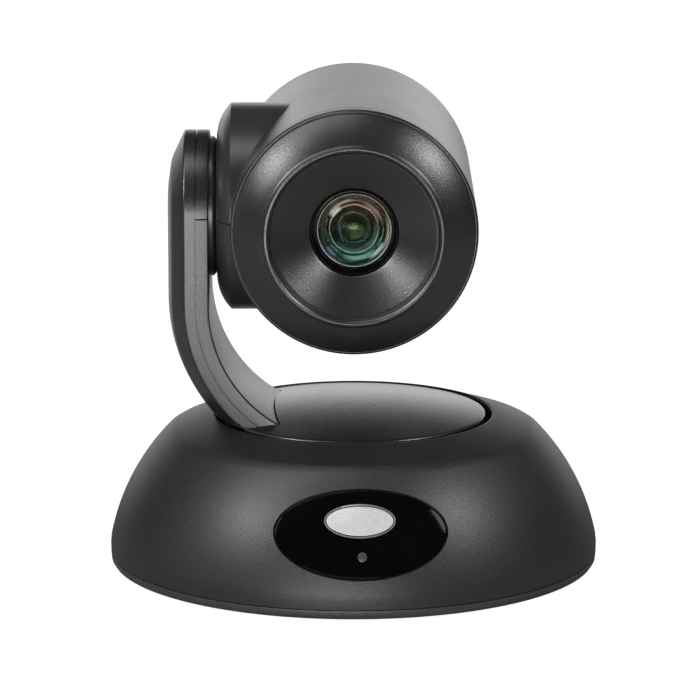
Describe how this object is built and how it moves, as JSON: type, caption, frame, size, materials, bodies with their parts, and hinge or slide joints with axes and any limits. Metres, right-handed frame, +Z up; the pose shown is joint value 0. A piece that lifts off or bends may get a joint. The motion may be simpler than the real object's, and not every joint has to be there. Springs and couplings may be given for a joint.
{
  "type": "ptz camera",
  "caption": "Table-top pan and tilt camera: a domed round base with a turning platter, a curved side arm and a tilting cylindrical head with a zoom lens.",
  "frame": {"origin": "middle of the base, in the plane of the feet's undersides", "axes": "+Z up along the pan axis, -Y towards the front of the base and out of the lens at rest, X along the tilt axis with the arm on the -X side"},
  "size_m": [0.2, 0.2, 0.197],
  "materials": {
    "charcoal_cover": "fine metallic texture, satin",
    "satin_grey": "smooth satin paint",
    "tray": "fine grain",
    "foot_rubber": "matte",
    "brass": "machined",
    "screw_steel": "zinc plated",
    "window_black": "polished, infrared clear",
    "badge_silver": "satin, blank",
    "led_lens": "clear grey",
    "chip_black": "moulded",
    "circuit_board": "solder mask",
    "bare_aluminium": "extruded",
    "connector_steel": "tin plated",
    "connector_black": "moulded",
    "sheet_steel": "zinc plated",
    "bearing_steel": "ground",
    "motor_can": "black oxide",
    "gear_resin": "moulded acetal",
    "cast_zinc": "die cast",
    "flat_cable": "flexible laminate",
    "block_black": "glass filled, matt",
    "lens_glass": "coated",
    "retainer_metal": "turned",
    "sensor_glass": "filter glass"
  },
  "bodies": {
    "base": {"base_cover": "charcoal_cover", "base_plate": "tray", "base_feet": "foot_rubber", "tripod_insert": "brass", "base_screws": "screw_steel", "ir_window": "window_black", "badge": "badge_silver", "status_led": "led_lens", "ir_receivers": "chip_black", "ir_board": "circuit_board", "main_board": "circuit_board", "heat_sink": "bare_aluminium", "rear_panel": "connector_black", "dc_jack": "connector_black", "lan_port": "connector_steel", "serial_port": "connector_black", "hdmi_port": "connector_steel", "base_frame": "sheet_steel", "pan_bearing_outer": "bearing_steel", "pan_motor": "motor_can"},
    "pan_ball_cage": {"pan_balls": "bearing_steel"},
    "pan_drive_pinion": {"pan_pinion": "brass"},
    "selector_knob": {"format_selector": "gear_resin"},
    "turntable": {"platter": "satin_grey", "turntable_hub": "cast_zinc", "pan_gear": "gear_resin", "pan_bearing_inner": "bearing_steel", "spindle_clip": "screw_steel", "arm_frame": "cast_zinc", "arm_outer_shell": "charcoal_cover", "arm_upper_cover": "satin_grey", "arm_lower_cover": "satin_grey", "tilt_spacer": "satin_grey", "tilt_shaft": "bearing_steel", "tilt_gear": "gear_resin", "arm_cable": "flat_cable", "arm_screws": "screw_steel", "shaft_clip": "screw_steel"},
    "camera_head": {"head_upper_shell": "satin_grey", "head_lower_shell": "satin_grey", "front_bezel": "charcoal_cover", "rear_cap": "satin_grey", "head_frame": "cast_zinc", "tilt_bearing": "brass", "tilt_motor": "motor_can", "camera_housing": "block_black", "lens_barrel": "block_black", "front_lens": "lens_glass", "lens_retainer": "retainer_metal", "guide_rods": "bearing_steel", "iris": "block_black", "rear_lens": "lens_glass", "image_sensor": "sensor_glass", "sensor_board": "circuit_board", "head_screws": "screw_steel"},
    "tilt_drive_pinion": {"tilt_pinion": "brass"},
    "zoom_group": {"zoom_carriage": "block_black", "zoom_lens": "lens_glass"},
    "focus_group": {"focus_carriage": "block_black", "focus_lens": "lens_glass"}
  },
  "joints": [
    {"name": "pan", "type": "hinge", "parent": "base", "child": "turntable", "pos_m": [0, 0, 0.047], "axis": [0, 0, 1], "range_deg": [-160, 160]},
    {"name": "pan_ball_orbit", "type": "hinge", "parent": "base", "child": "pan_ball_cage", "pos_m": [0, 0, 0.037], "axis": [0, 0, 1], "range_deg": [-80, 80]},
    {"name": "pan_pinion_spin", "type": "hinge", "parent": "base", "child": "pan_drive_pinion", "pos_m": [0, -0.04688, 0.0445], "axis": [0, 0, 1], "range_deg": [-650, 650]},
    {"name": "format_select", "type": "hinge", "parent": "base", "child": "selector_knob", "pos_m": [0.032, 0.078, 0.0166], "axis": [0, 1, 0], "range_deg": [0, 337.5]},
    {"name": "tilt", "type": "hinge", "parent": "turntable", "child": "camera_head", "pos_m": [-0.05, 0, 0.1478], "axis": [-1, 0, 0], "range_deg": [-30, 90]},
    {"name": "tilt_pinion_spin", "type": "hinge", "parent": "camera_head", "child": "tilt_drive_pinion", "pos_m": [-0.0436, 0.01803, 0.12977], "axis": [-1, 0, 0], "range_deg": [-75, 220]},
    {"name": "zoom", "type": "slide", "parent": "camera_head", "child": "zoom_group", "axis": [0, 1, 0], "range_m": [0, 0.02]},
    {"name": "focus", "type": "slide", "parent": "camera_head", "child": "focus_group", "axis": [0, 1, 0], "range_m": [0, 0.01]}
  ],
  "couplings": [
    {"joint": "pan_ball_orbit", "follows": "pan", "ratio": 0.4394},
    {"joint": "pan_pinion_spin", "follows": "pan", "ratio": -4},
    {"joint": "tilt_pinion_spin", "follows": "tilt", "ratio": 2.4}
  ]
}
